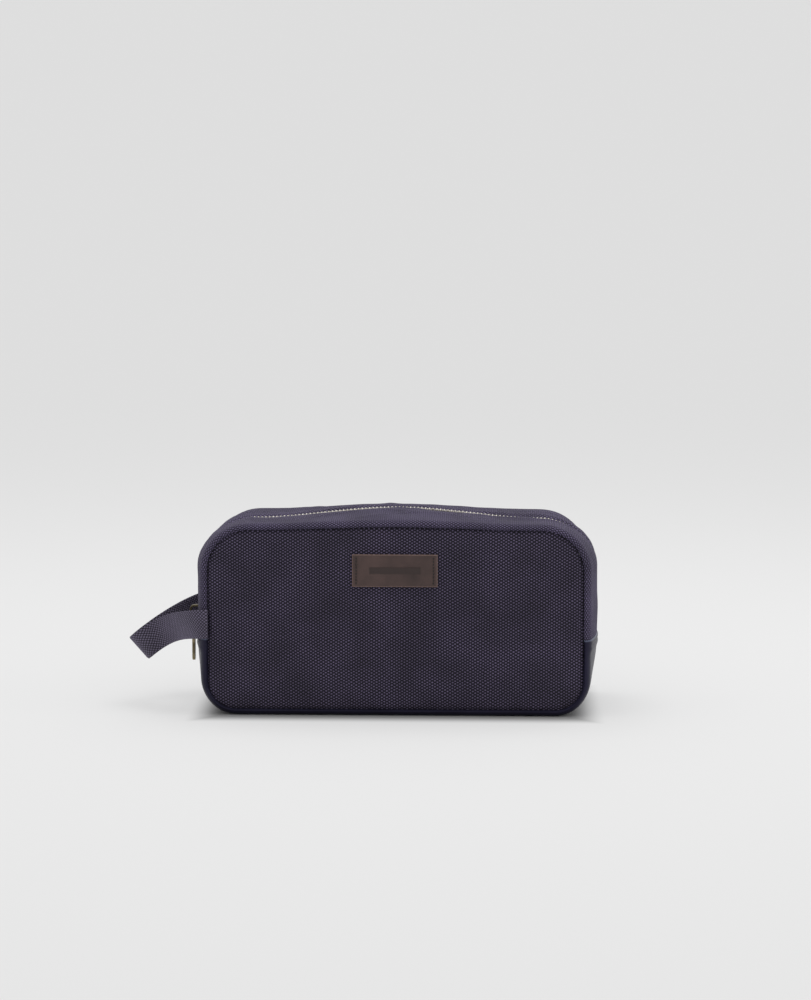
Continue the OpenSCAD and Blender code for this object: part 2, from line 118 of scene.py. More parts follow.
PAPER_W, PAPER_L = 16, 12               # the flat part of the paper
SWEEP_BACK = 3.0                        # where the paper starts to rise, behind the bag
SWEEP_STEPS, SWEEP_STEP = 12, 0.3       # the curved part: number of strips, and their length
SWEEP_RISE = 4.0                        # the upright part
bpy.ops.object.select_all(action="DESELECT")
bpy.ops.mesh.primitive_plane_add(size=1)
floor = bpy.context.object
floor.name = "studio_floor"
floor.scale = (PAPER_W, PAPER_L, 1)
floor.location = (0, SWEEP_BACK - PAPER_L / 2, 0)
bpy.ops.object.transform_apply(location=True, scale=True)
bpy.ops.object.mode_set(mode="EDIT")
bpy.ops.mesh.select_mode(type="EDGE")
bpy.ops.mesh.select_all(action="DESELECT")
bpy.ops.object.mode_set(mode="OBJECT")
for edge in floor.data.edges:
    edge.select = all(floor.data.vertices[i].co.y > SWEEP_BACK - 0.01 for i in edge.vertices)
bpy.ops.object.mode_set(mode="EDIT")
for step in range(SWEEP_STEPS):
    lean = math.pi / 2 * (step + 0.5) / SWEEP_STEPS
    bpy.ops.mesh.extrude_region_move(TRANSFORM_OT_translate={
        "value": (0, SWEEP_STEP * math.cos(lean), SWEEP_STEP * math.sin(lean))})
bpy.ops.mesh.extrude_region_move(TRANSFORM_OT_translate={"value": (0, 0, SWEEP_RISE)})
bpy.ops.object.mode_set(mode="OBJECT")
bpy.ops.object.shade_smooth()
floor.data.materials.append(paper)

world = bpy.data.worlds.new("studio")
world.use_nodes = True
world.node_tree.nodes["Background"].inputs["Color"].default_value = linear("#ffffff")
world.node_tree.nodes["Background"].inputs["Strength"].default_value = 0.80
bpy.context.scene.world = world


def softbox(name, power, place, target, size):
    """An area light at place, facing target, of that width and height."""
    light = bpy.data.lights.new(name, "AREA")
    light.shape = "RECTANGLE"
    light.energy = power
    light.size, light.size_y = size
    lamp = bpy.data.objects.new(name, light)
    bpy.context.collection.objects.link(lamp)
    lamp.location = place
    lamp.rotation_euler = (Vector(target) - Vector(place)).to_track_quat("-Z", "Y").to_euler()


softbox("overhead_softbox", 6, (0.0, 0.25, 1.3), (0, 0, 0.1), (1.0, 0.8))
softbox("right_strip", 1.6, (1.3, -0.2, 0.5), (0.1, 0, 0.05), (0.3, 0.8))

camera_data = bpy.data.cameras.new("camera")
camera_data.lens = 95.7                 # a short telephoto, nearly two metres from the bag
camera_data.sensor_width = 36
camera_data.clip_end = 60
camera = bpy.data.objects.new("camera", camera_data)
bpy.context.collection.objects.link(camera)
camera.location = (0.0687, -1.8425, 0.3389)
camera.rotation_euler = (math.radians(83.94), 0, math.radians(1.97))
bpy.context.scene.camera = camera
bpy.context.scene.view_settings.view_transform = "Standard"
bpy.context.scene.view_settings.look = "None"

# --- Leather base ----------------------------------------------------------------------------
# One wide strip of smooth navy chrome-tanned leather, bent up at both ends and sewn into the
# front and back seams. Its top edges are folded over and stitched across the canvas.
PANEL = [Vector(c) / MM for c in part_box("front_panel")]
BASE = [Vector(c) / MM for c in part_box("leather_base")]
LOW_PANEL = [Vector(c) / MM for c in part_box("front_panel_lower")]
GAP = 0.3                                   # clear gap round a panel in the CAD
HALF_W = PANEL[1].x + GAP                   # end seams from the middle
SEAM_Y = BASE[1].y                          # front and back seams from the middle
SEAM_LOW = LOW_PANEL[0].z - GAP             # height of the bottom seam
ARCH = 2.0                                  # rise of the top seam at mid-width
SEAM_TOP = PANEL[1].z + GAP - ARCH          # height of the top seam at the corners
TOP_R, LOW_R = 28.0, 19.0                   # corner radii
LEATHER_TOP = BASE[1].z
ROLL_W, ROLL_D = SEAM_LOW, 5.0              # the rolled edge outside the seam
END_BULGE = BASE[1].x - HALF_W - ROLL_W     # bulge of the ends at the zip
TOP_BULGE = 5.0                             # bulge of the crown at mid-width
CORNER_POWER = 4                            # how fast the ends' bulge dies out round a corner
FADE_Z = 0.85 * LEATHER_TOP                 # the ends' bulge starts at the floor and is full here
SEAM_DIP = 1.5                              # how deep the turned seam pulls in
DIP_W = 1.5                                 # and how wide the pulled-in groove is
ROLL_STEPS = 10                             # places round the rolled edge


def smooth(t):
    """0 to 1 with level ends, as t goes from 0 to 1."""
    t = np.clip(t, 0.0, 1.0)
    return t * t * (3 - 2 * t)


def turn(cx, cz, r, a0, a1, step):
    """Points round an arc: x, z and the outward normal, the first left out."""
    n = max(4, int(abs(math.radians(a1 - a0)) * r / step))
    angles = np.radians(np.linspace(a0, a1, n + 1)[1:])
    return np.stack([cx + r * np.cos(angles), cz + r * np.sin(angles), np.cos(angles), np.sin(angles)], 1)


def straight(p, q, normal, step, first=False):
    """Points from p to q with their normal: x, z and the normal. The first is left out unless asked for."""
    n = max(2, int(math.dist(p, q) / step))
    t = np.linspace(0, 1, n + 1)[0 if first else 1:, None]
    points = np.array(p) * (1 - t) + np.array(q) * t
    return np.hstack([points, np.tile(normal, (len(points), 1))])


def top_run(step):
    """The top seam, left to right, with its slight arch."""
    w = HALF_W - TOP_R
    run = straight((-w, SEAM_TOP), (w, SEAM_TOP), (0, 1), step)
    run[:, 1] += ARCH * np.cos(math.pi / 2 * run[:, 0] / w) ** 2
    return run


def upper_path(z_from, step):
    """The seam from z_from up the left end, over the crown and down the right end."""
    corner = SEAM_TOP - TOP_R
    return np.vstack([
        straight((-HALF_W, z_from), (-HALF_W, corner), (-1, 0), step, True),
        turn(-HALF_W + TOP_R, corner, TOP_R, 180, 90, step), top_run(step),
        turn(HALF_W - TOP_R, corner, TOP_R, 90, 0, step),
        straight((HALF_W, corner), (HALF_W, z_from), (1, 0), step)])


def lower_path(z_from, step):
    """The seam from z_from down the left end, under the bag and up the right end."""
    corner = SEAM_LOW + LOW_R
    w = HALF_W - LOW_R
    return np.vstack([
        straight((-HALF_W, z_from), (-HALF_W, corner), (-1, 0), step, True),
        turn(-HALF_W + LOW_R, corner, LOW_R, 180, 270, step),
        straight((-w, SEAM_LOW), (w, SEAM_LOW), (0, -1), step),
        turn(HALF_W - LOW_R, corner, LOW_R, 270, 360, step),
        straight((HALF_W, corner), (HALF_W, z_from), (1, 0), step)])


def bulges(path):
    """How far each place on the path bulges at the zip, past the rolled edge."""
    fade = smooth(path[:, 1] / FADE_Z)
    across = np.clip(path[:, 0] / (HALF_W - TOP_R), -1, 1)
    crown = np.where(path[:, 3] > 0.9999, TOP_BULGE * np.cos(math.pi / 2 * across) ** 2, 0)
    return END_BULGE * np.abs(path[:, 2]) ** CORNER_POWER * fade + crown


def section(s_end, step, dip=True):
    """The gusset's section from the seam to s_end behind it: how far out, and how far back, each
    place is. The bulge is added later, as it changes along the path."""
    angles = np.radians(np.linspace(0, 90, ROLL_STEPS + 1))
    s = list(ROLL_D * (1 - np.cos(angles)))
    o = list(ROLL_W * np.sin(angles))
    n = max(2, int((s_end - ROLL_D) / step))
    s += list(np.linspace(ROLL_D, s_end, n + 1)[1:])
    o += [ROLL_W] * n
    o, s = np.array(o), np.array(s)
    if dip:
        s = s + SEAM_DIP * (1 - smooth(o / DIP_W))
    return o, s


def surface(path, o, s, depth, lift=0.0):
    """Points over path x section, depth inside the cloth's outer face; lift is added outwards."""
    b = bulges(path)[:, None]
    offset = o[None, :] + b * (1 - (1 - np.minimum(s, SEAM_Y)[None, :] / SEAM_Y) ** 2)
    behind = np.tile(s, (len(path), 1))
    d_o, d_s = np.gradient(offset, axis=1), np.gradient(behind, axis=1)
    m = np.hypot(d_o, d_s) + 1e-9
    n_o, n_s = d_s / m, -d_o / m
    out = lift - depth
    offset = offset + n_o * out
    behind = behind + n_s * out
    x = path[:, 0:1] + path[:, 2:3] * offset
    z = path[:, 1:2] + path[:, 3:4] * offset
    return np.stack([x, behind - SEAM_Y, z], -1)


def along(points):
    """Distance along a row of points."""
    return np.concatenate([[0], np.cumsum(np.linalg.norm(np.diff(points, axis=0), axis=1))])


def new_piece(name, verts, faces, material):
    """An object from vertices in millimetres and faces, with that material, smooth all over."""
    mesh = bpy.data.meshes.new(name)
    mesh.from_pydata((np.array(verts) * MM).tolist(), [], [tuple(int(i) for i in f) for f in faces])
    mesh.materials.append(material)
    mesh.polygons.foreach_set("use_smooth", [True] * len(mesh.polygons))
    piece = bpy.data.objects.new(name, mesh)
    bpy.context.collection.objects.link(piece)
    return piece


def map_in_mm(piece, uvs):
    """Gives the piece a UV map in millimetres, from one pair for each vertex."""
    layer = piece.data.uv_layers.new(name="cloth_mm")
    flat = np.array(uvs)[[loop.vertex_index for loop in piece.data.loops]]
    layer.data.foreach_set("uv", flat.astype(np.float32).reshape(-1))


def face_outwards(piece, sharp, merge=0):
    """Merges doubles, points the faces outwards, and keeps folds over that angle sharp."""
    select_only(piece)
    bpy.ops.object.mode_set(mode="EDIT")
    bpy.ops.mesh.select_all(action="SELECT")
    if merge:
        bpy.ops.mesh.remove_doubles(threshold=merge)
    bpy.ops.mesh.normals_make_consistent(inside=False)
    bpy.ops.object.mode_set(mode="OBJECT")
    bpy.ops.object.shade_smooth_by_angle(angle=math.radians(sharp))


def grid_mesh(name, grids, material):
    """One object from closed grids [row][column][xyz] in millimetres, each (outer, inner, u, v):
    both faces, joined round all four sides, with a UV map in millimetres."""
    verts, faces, uvs = [], [], []
    for outer, inner, u, v in grids:
        rows, cols = outer.shape[:2]
        base, n = len(verts), rows * cols
        verts.extend(map(tuple, outer.reshape(-1, 3)))
        verts.extend(map(tuple, inner.reshape(-1, 3)))
        flat_uv = np.stack([u, v], -1).reshape(-1, 2)
        uvs.extend(map(tuple, np.vstack([flat_uv, flat_uv])))
        a = (np.arange(rows - 1)[:, None] * cols + np.arange(cols - 1)[None, :]).reshape(-1)
        quads = np.stack([a, a + 1, a + cols + 1, a + cols], 1)
        faces.extend(map(tuple, quads + base))
        faces.extend(map(tuple, quads[:, ::-1] + base + n))
        rim = np.concatenate([
            np.arange(cols - 1), (cols - 1) + cols * np.arange(rows - 1),
            (rows * cols - 1) - np.arange(cols - 1), cols * (rows - 1) - cols * np.arange(rows - 1)])
        for p, q in zip(rim, np.roll(rim, -1)):
            faces.append((base + q, base + p, base + n + p, base + n + q))
    piece = new_piece(name, verts, faces, material)
    map_in_mm(piece, uvs)
    face_outwards(piece, 50)
    return piece


def creases(points, scale, seed):
    """Smooth noise from -1 to 1 at each point, scale in millimetres along x, y and z."""
    flat = points.reshape(-1, 3) / np.array(scale) + seed * 17.3
    return np.array([noise.noise(Vector(p)) for p in flat]).reshape(points.shape[:-1])


# Chrome-tanned leather: a smooth semi-matt finish, with fine pebble grain of about 0.8 mm and
# soft pull-up marks, and a painted highlight in pale blue-grey along the folded top edges.
navy_leather, tree = new_material("chrome-tanned leather, navy, semi-matt")
place = add(tree, "TexCoord")
grain = add(tree, "TexVoronoi", {"Vector": place.outputs["Object"]}, feature="SMOOTH_F1", in_Scale=1100)
pores = add(tree, "TexNoise", {"Vector": place.outputs["Object"]}, in_Scale=1900, in_Detail=3)
marks = add(tree, "TexNoise", {"Vector": place.outputs["Object"]}, in_Scale=22, in_Detail=4)
tone = add(tree, "ValToRGB", {"Fac": marks.outputs["Fac"]})
tone.color_ramp.elements[0].position = 0.35
tone.color_ramp.elements[0].color = linear("#0e0c17")
tone.color_ramp.elements[1].position = 0.72
tone.color_ramp.elements[1].color = linear("#1a1827")
gloss = add(tree, "MapRange", {"Value": marks.outputs["Fac"]}, in_3=0.34, in_4=0.52)
height = add(tree, "Math", {0: grain.outputs["Distance"], 1: pores.outputs["Fac"]}, operation="MULTIPLY")
bump = add(tree, "Bump", {"Height": height.outputs[0]}, in_Strength=0.35, in_Distance=0.0004)
uv = add(tree, "UVMap", uv_map="cloth_mm")
sides = add(tree, "SeparateXYZ", {"Vector": uv.outputs["UV"]})
# painted highlight: within 1.3 mm of the folded top edges the colour is mixed towards pale blue-grey
rubbed = add(tree, "MapRange", {"Value": sides.outputs["X"]}, in_1=1.3, in_2=0.3)
worn = add(tree, "Mix", {"Factor": rubbed.outputs["Result"], 6: tone.outputs["Color"]}, data_type="RGBA")
worn.inputs[7].default_value = linear("#5a6072")
shader = add(tree, "BsdfPrincipled", {"Base Color": worn.outputs[2], "Normal": bump.outputs["Normal"],
                                      "Roughness": gloss.outputs["Result"]}, in_IOR=1.45)
shader.inputs["Specular Tint"].default_value = linear("#9f9cd0")
shader.inputs["Coat Weight"].default_value = 0.05
shader.inputs["Coat Roughness"].default_value = 0.3
add(tree, "OutputMaterial", {"Surface": shader.outputs["BSDF"]})

LEATHER_T = 2.0
FOLD_PROUD = 0.9            # the folded top edge stands this far off the canvas
FOLD_BAND = 7.0             # height of the folded edge
EDGE_ROW = 4.2              # the row of stitches from the edge
GROOVE = 0.35               # how deep the row is pulled into the leather
SLACK = 0.5                 # how far the leather waves between its seams
BESIDE_SEAM = 6             # fold, slack and stitches die out over this width at the seams

path = lower_path(LEATHER_TOP, 2.0)
o, s = section(SEAM_Y, 3.0)
o = np.concatenate([o, o[-2::-1]])
s_all = np.concatenate([s, 2 * SEAM_Y - s[-2::-1]])


def full_surface(path, o, s_all, depth, lift=0.0):
    """As surface(), from the front seam right round to the back seam."""
    half = (len(o) + 1) // 2
    lifted = np.broadcast_to(lift, (len(path), len(o)))
    front = surface(path, o[:half], s_all[:half], depth, lifted[:, :half])
    back = surface(path, o[:half], s_all[:half], depth, lifted[:, ::-1][:, :half])
    back = back[:, -2::-1] * np.array([1, -1, 1])
    return np.concatenate([front, back], 1)


run = along(path[:, :2])
from_end = np.minimum(run, run[-1] - run)[:, None]
off_seam = smooth(np.minimum(s_all, 2 * SEAM_Y - s_all) / BESIDE_SEAM)
proud = FOLD_PROUD * (1 - smooth((from_end - FOLD_BAND) / 2.5)) * off_seam
proud = proud * np.sqrt(np.clip(1 - (1 - np.clip(from_end / 1.2, 0, 1)) ** 2, 0, 1))
plain = full_surface(path, o, s_all, 0)
slack = creases(plain, (24, 34, 20), 3) * SLACK * smooth((plain[..., 2] - 6) / 20)
stitch_line = -GROOVE * np.exp(-((from_end - EDGE_ROW) / 0.7) ** 2) * off_seam
outer = full_surface(path, o, s_all, 0, proud + slack + stitch_line)
outer[..., 2] = np.maximum(outer[..., 2], 0.0)
inner = full_surface(path, o, s_all, LEATHER_T)
u, v = np.meshgrid(from_end[:, 0], s_all, indexing="ij")
base_shell = grid_mesh("leather_base_shell", [(outer, inner, u, v)], navy_leather)
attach(base_shell, "base")
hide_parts("leather_base")

# Twisted polyester thread, as sewn across the folded edge: each stitch is a short rounded lozenge.
thread, tree = new_material("polyester sewing thread, blue-grey, twisted")
place = add(tree, "TexCoord")
twist = add(tree, "TexWave", {"Vector": place.outputs["Object"]}, in_Scale=900, wave_type="BANDS",
            bands_direction="DIAGONAL")
tone = add(tree, "ValToRGB", {"Fac": twist.outputs["Fac"]})
tone.color_ramp.elements[0].color = linear("#2c2b36")
tone.color_ramp.elements[1].color = linear("#5d5c6b")
shader = add(tree, "BsdfPrincipled", {"Base Color": tone.outputs["Color"]}, in_Roughness=0.55)
add(tree, "OutputMaterial", {"Surface": shader.outputs["BSDF"]})


def stitch_shape(length, width, height):
    """One stitch at the origin, along X: a rounded bar that dips at both ends. Vertices and faces."""
    bpy.ops.object.select_all(action="DESELECT")
    bpy.ops.mesh.primitive_cylinder_add(vertices=8, radius=width / 2, depth=length,
                                        rotation=(0, math.pi / 2, 0))
    bar = bpy.context.object
    bpy.ops.object.transform_apply(location=True, rotation=True)
    bpy.ops.object.mode_set(mode="EDIT")
    bpy.ops.mesh.select_all(action="SELECT")
    bpy.ops.mesh.bevel(offset=width * 0.3, segments=1, affect="EDGES")
    bpy.ops.object.mode_set(mode="OBJECT")
    points = np.array([p.co for p in bar.data.vertices])
    points[:, 2] = points[:, 2] * height / width - height * 0.6 * (2 * points[:, 0] / length) ** 2
    faces = [tuple(p.vertices) for p in bar.data.polygons]
    bpy.data.objects.remove(bar)
    return points, faces


def sew(name, shape, places, material):
    """One object of many copies of shape. places is a list of (point, along, out), in millimetres."""
    verts, faces = [], []
    points, rings = shape
    for at, direction, out in places:
        x = Vector(direction).normalized()
        z = (Vector(out) - x * Vector(out).dot(x)).normalized()
        m = np.array([x, z.cross(x), z])
        start = len(verts)
        verts.extend(map(tuple, points @ m + np.array(at)))
        faces.extend(tuple(i + start for i in ring) for ring in rings)
    return new_piece(name, verts, faces, material)


def place_on(grid, r, c):
    """A point on a grid of points at row r and column c, part ways allowed, and both directions there."""
    i, j = min(int(r), grid.shape[0] - 2), min(int(c), grid.shape[1] - 2)
    f, g = r - i, c - j
    p = (grid[i, j] * (1 - f) * (1 - g) + grid[i + 1, j] * f * (1 - g)
         + grid[i, j + 1] * (1 - f) * g + grid[i + 1, j + 1] * f * g)
    return p, grid[i + 1, j] - grid[i, j], grid[i, j + 1] - grid[i, j]


STITCH_PITCH = 3.3
THREAD_SUNK = 0.1           # the thread's middle from the cloth's face
edge_shape = stitch_shape(2.3, 0.55, 0.45)
places = []
for at in (EDGE_ROW, run[-1] - EDGE_ROW):
    row = np.interp(at, run, np.arange(len(run)))
    for y in np.arange(-SEAM_Y + 7, SEAM_Y - 6, STITCH_PITCH):
        col = np.interp(y + SEAM_Y, s_all, np.arange(len(s_all)))
        p, _, d_col = place_on(outer, row, col)
        places.append((p + np.array([math.copysign(THREAD_SUNK, p[0]), 0, 0]), d_col, (p[0], 0, 0)))
edge_stitches = sew("leather_edge_thread", edge_shape, places, thread)
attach(edge_stitches, "base")
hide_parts("leather_edge_stitches")

# --- Canvas panels ---------------------------------------------------------------------------
# Front and back: heavy indigo-dyed cotton canvas over thin foam, cut to a rounded rectangle,
# turned in round the edge and sewn to the gusset, so the seam shows as a tight dark groove.
WEAVE_X, WEAVE_Z = 3.45, 2.12       # repeat of the raised dots, with one more dot at mid-repeat


def woven(name, dark, light, repeat, dot, height_mm, rough=0.85, vary=0.5, sheen=0.25):
    """A cloth whose raised threads show as staggered dots, drawn from the UV map in millimetres."""
    material, tree = new_material(name)
    uv = add(tree, "UVMap", uv_map="cloth_mm")
    wander = add(tree, "TexNoise", {"Vector": uv.outputs["UV"]}, in_Scale=0.16, in_Detail=2,
                 noise_dimensions="2D")
    moved = add(tree, "VectorMath", {0: wander.outputs["Color"]}, operation="SCALE", in_Scale=0.9)
    shaken = add(tree, "VectorMath", {0: uv.outputs["UV"], 1: moved.outputs[0]}, operation="ADD")
    dots = []
    for shift in (0.0, 0.5):
        cell = add(tree, "VectorMath", {0: shaken.outputs[0]}, operation="DIVIDE")
        cell.inputs[1].default_value = (repeat[0], repeat[1], 1)
        moved = add(tree, "VectorMath", {0: cell.outputs[0]}, operation="ADD")
        moved.inputs[1].default_value = (shift + 0.5, shift + 0.5, 0)
        part = add(tree, "VectorMath", {0: moved.outputs[0]}, operation="FRACTION")
        centred = add(tree, "VectorMath", {0: part.outputs[0]}, operation="SUBTRACT")
        centred.inputs[1].default_value = (0.5, 0.5, 0)
        scaled = add(tree, "VectorMath", {0: centred.outputs[0]}, operation="MULTIPLY")
        scaled.inputs[1].default_value = (repeat[0] / dot[0], repeat[1] / dot[1], 0)
        dots.append(add(tree, "VectorMath", {0: scaled.outputs[0]}, operation="LENGTH").outputs["Value"])
    near = add(tree, "Math", {0: dots[0], 1: dots[1]}, operation="MINIMUM")
    raised = add(tree, "MapRange", {"Value": near.outputs[0]}, interpolation_type="SMOOTHSTEP",
                 in_1=1.0, in_2=0.15, in_3=0.0, in_4=1.0)
    fibre = add(tree, "TexNoise", {"Vector": uv.outputs["UV"]}, in_Scale=2.6, in_Detail=4,
                noise_dimensions="2D")
    patches = add(tree, "TexNoise", {"Vector": uv.outputs["UV"]}, in_Scale=0.035, in_Detail=3,
                  noise_dimensions="2D")
    strength = add(tree, "MapRange", {"Value": fibre.outputs["Fac"]}, in_1=0.25, in_2=0.75,
                   in_3=1 - vary, in_4=1.0)
    lit = add(tree, "Math", {0: raised.outputs["Result"], 1: strength.outputs["Result"]},
              operation="MULTIPLY")
    tone = add(tree, "Mix", {"Factor": lit.outputs[0]}, data_type="RGBA")
    tone.inputs[6].default_value, tone.inputs[7].default_value = linear(dark), linear(light)
    worn = add(tree, "MapRange", {"Value": patches.outputs["Fac"]}, in_1=0.3, in_2=0.7,
               in_3=0.80, in_4=1.20)
    final = add(tree, "VectorMath", {0: tone.outputs[2], "Scale": worn.outputs["Result"]},
                operation="SCALE")
    relief = add(tree, "Math", {0: fibre.outputs["Fac"], 2: raised.outputs["Result"]},
                 operation="MULTIPLY_ADD", in_1=0.35)
    bump = add(tree, "Bump", {"Height": relief.outputs[0]}, in_Strength=0.75, in_Distance=height_mm * MM)
    shader = add(tree, "BsdfPrincipled", {"Base Color": final.outputs[0], "Normal": bump.outputs["Normal"]},
                 in_Roughness=rough, in_Specular_IOR_Level=0.3)
    shader.inputs["Sheen Weight"].default_value = sheen
    shader.inputs["Sheen Roughness"].default_value = 0.5
    shader.inputs["Sheen Tint"].default_value = linear("#b9b2d0")
    add(tree, "OutputMaterial", {"Surface": shader.outputs["BSDF"]})
    return material


# Indigo-dyed cotton canvas: fuzzy, matt, with the raised weft floats paler than the ground.
canvas = woven("indigo cotton canvas, raised float weave", "#0f0b18", "#736886", (WEAVE_X, WEAVE_Z),
               (0.98, 0.74), 0.40, sheen=0.06)

CANVAS_T = 1.6
SEAM_GAP = 0.05             # sewn tight to the gusset
CROWN = 3.0                 # how far the foam bows each panel out at its middle
LONG_WAVE, SHORT_WAVE = 0.7, 0.35       # how deep the panel's slack waves are
PUCKER = 0.22               # how deep the stitches pucker it beside the seam
EDGE_TUCK = 0.5             # how far it falls in towards the seam, besides the dip of the seam
MID_Z = (SEAM_LOW + SEAM_TOP) / 2
HALF_H = (SEAM_TOP - SEAM_LOW) / 2


def bow(x, z):
    """How far a panel bulges at x, z."""
    across = 1 - np.minimum(1, np.abs(x) / HALF_W) ** 3
    return CROWN * across * (1 - np.minimum(1, np.abs(z - MID_Z) / HALF_H) ** 3)


def outline(step, inset):
    """The whole seam line, inset inwards: points x, z and distance along, closed but not repeated."""
    upper = upper_path(LEATHER_TOP, step)
    lower = lower_path(LEATHER_TOP, step)[::-1][1:-1]
    loop = np.vstack([upper, lower])
    return loop[:, :2] - loop[:, 2:] * inset, along(loop[:, :2])


def panel_mesh(name, side, depth, thick, inset, seed, material, dip=SEAM_DIP):
    """A panel as rings from the seam in to a line along its middle. side is -1 in front, 1 behind."""
    edge, run = outline(1.9, inset)
    reach = HALF_W - HALF_H
    centre = np.stack([np.clip(edge[:, 0], -reach, reach), np.full(len(edge), MID_Z)], 1)
    from_edge = np.array([0, 0.3, 0.6, 0.9, 1.3, 1.8, 2.6, 4, 6, 8.5, 12, 16, 21, 27, 34, 42, 51, HALF_H])
    t = 1 - from_edge / HALF_H
    rings = centre[None] + (edge - centre)[None] * t[:, None, None]
    x, z = rings[..., 0], rings[..., 1]
    flat = np.stack([x, np.zeros_like(x), z], -1)
    soft = smooth(from_edge / 9)[:, None]
    slack = LONG_WAVE * creases(flat, (70, 70, 42), seed)
    slack = slack + SHORT_WAVE * creases(flat, (26, 30, 20), seed + 5)
    pucker = PUCKER * creases(np.stack([np.tile(run, (len(t), 1)), 0 * x, 0 * x], -1), (7, 7, 7), seed + 9)
    pucker = pucker * (smooth(from_edge / 1.5) * (1 - smooth((from_edge - 3) / 9)))[:, None]
    tuck = (dip * (1 - smooth(from_edge / 2.2)) + EDGE_TUCK * (1 - smooth(from_edge / 9)))[:, None]
    out = SEAM_Y - depth + bow(x, z) + soft * slack + pucker - tuck
    faces_out = np.stack([x, side * out, z], -1)
    faces_in = np.stack([x, side * (out - thick), z], -1)
    n, rows = len(edge), len(t)
    verts = np.vstack([faces_out.reshape(-1, 3), faces_in.reshape(-1, 3)])
    faces = []
    for layer, flip in ((0, side > 0), (rows * n, side < 0)):
        for i in range(rows - 1):
            a = layer + i * n + np.arange(n)
            b = layer + i * n + (np.arange(n) + 1) % n
            quads = np.stack([a, b, b + n, a + n], 1)
            faces += [tuple(q) for q in (quads[:, ::-1] if flip else quads).tolist()]
    a, b = np.arange(n), (np.arange(n) + 1) % n
    rim = np.stack([b, a, a + rows * n, b + rows * n], 1)
    faces += [tuple(q) for q in (rim[:, ::-1] if side > 0 else rim).tolist()]
    piece = new_piece(name, verts, faces, material)
    map_in_mm(piece, verts[:, [0, 2]])
    face_outwards(piece, 60, merge=0.02 * MM)
    return piece


HALVES = (("front", -1), ("back", 1))


def bends(piece):
    """Bakes the piece's placement into its mesh."""
    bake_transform(piece)


for half, side in HALVES:
    shell = panel_mesh(half + "_canvas", side, 0.0, CANVAS_T, SEAM_GAP, 1 if side < 0 else 40, canvas)
    bends(shell)
    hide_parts(half + "_panel", half + "_panel_fold", half + "_panel_lower")

# --- Canvas gusset ---------------------------------------------------------------------------
# Two long strips of the same canvas run over the crown and down both ends, rolled round a
# seam allowance at the panel seam and folded under along the zip, with one row of topstitch.
# Painted light: the panels' canvas with its dark ground painted lighter, standing for the overhead light on
# the crown and ends.
painted_light_gusset_canvas = woven("indigo cotton canvas, turned on the gusset", "#161221", "#73688a",
                      (2.9, 2.0), (1.0, 0.78), 0.45, sheen=0.10)
SLOT_HALF = 4.5             # half the slot that shows the zip
HEM_STITCH = 2.6            # the topstitch from the slot's edge
HEM_SINK = 1.5              # how far the sewn hems lie down over the crown, so the teeth stand proud
TIGHT = ((12, 9), (56, 17))             # where the front hem is pulled up tight: x, and half its width
FINE_WAVE, ROLL_WAVE = 0.28, 0.16       # depth of the short waves, and of those round the rolled edge
SHARP_FOLD = 0.55           # height of the few sharp folds on the crown
HEM_GROOVE = 0.2            # how deep the topstitch is pulled in
HEM_TURN = 0.8              # radius of the turned edge along the zip
INSIDE = np.array([0, 0, 60])           # a place inside the bag, to tell inwards from outwards


def gusset_strip(half, side):
    """One half's strip with its waves, folds and sewn hem, and the row of topstitch along it."""
    path = upper_path(LEATHER_TOP + 0.3, 1.9)
    run = along(path[:, :2])
    o, s = section(SEAM_Y - SLOT_HALF, 1.6)
    plain = surface(path, o, s, 0)
    crown = np.abs(path[:, 3:4])
    edge = smooth((s - 7) / 9) * (1 - smooth((s - SEAM_Y + SLOT_HALF + 4) / 4))
    wave = creases(plain, (46, 16, 40), 7 + side) * (0.75 + 0.5 * crown)
    fine = creases(plain, (15, 24, 15), 23 + side) * FINE_WAVE
    roll = creases(plain * np.array([1, 0, 1]), (11, 11, 11), 31 + side) * ROLL_WAVE
    hem = smooth((s - (SEAM_Y - SLOT_HALF - 6)) / 4)
    stitched = -HEM_GROOVE * np.exp(-((SEAM_Y - SLOT_HALF - HEM_STITCH - s) / 0.7) ** 2)
    lift = wave * edge + fine * smooth((s - 3) / 6) * (1 - hem) + roll + stitched
    fold = creases(plain, (64, 13, 40), 55 + side)
    lift = lift + SHARP_FOLD * np.exp(-(fold / 0.07) ** 2) * edge * crown
    x = path[:, 0:1]
    wavy = 1 - sum(0.9 * np.exp(-((x - at) / wide) ** 2) for at, wide in TIGHT)
    lift = lift - HEM_SINK * hem * crown * (wavy if side < 0 else 1)
    turned = np.clip((s - (SEAM_Y - SLOT_HALF - HEM_TURN)) / HEM_TURN, 0, 1)
    lift = lift - HEM_TURN * (1 - np.sqrt(np.clip(1 - turned ** 2, 0, 1)))
    outer = surface(path, o, s, 0, lift)
    inner = surface(path, o, s, CANVAS_T, np.maximum(lift * 0.5, -0.25))
    flip = np.array([1, -side, 1])
    u, v = np.meshgrid(run, along(np.stack([o, s], 1)), indexing="ij")
    piece = grid_mesh(half + "_painted_light_gusset_canvas", [(outer * flip, inner * flip, u, v)], painted_light_gusset_canvas)
    bends(piece)
    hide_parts(half + "_gusset", half + "_gusset_fold")
    # the topstitch that holds the hem down beside the zip
    column = np.interp(SEAM_Y - SLOT_HALF - HEM_STITCH, s, np.arange(len(s)))
    places = []
    for at in np.arange(3, run[-1] - 3, STITCH_PITCH):
        row = np.interp(at, run, np.arange(len(run)))
        p, d_row, d_col = place_on(outer * flip, row, column)
        normal = np.cross(d_col, d_row)
        normal = normal if np.dot(normal, (p - INSIDE) * np.array([1, 0, 1])) > 0 else -normal
        places.append((p - normal / np.linalg.norm(normal) * THREAD_SUNK, d_row, normal))
    hem_thread = sew(half + "_hem_thread", edge_shape, places, thread)
    bends(hem_thread)


for half, side in HALVES:
    gusset_strip(half, side)
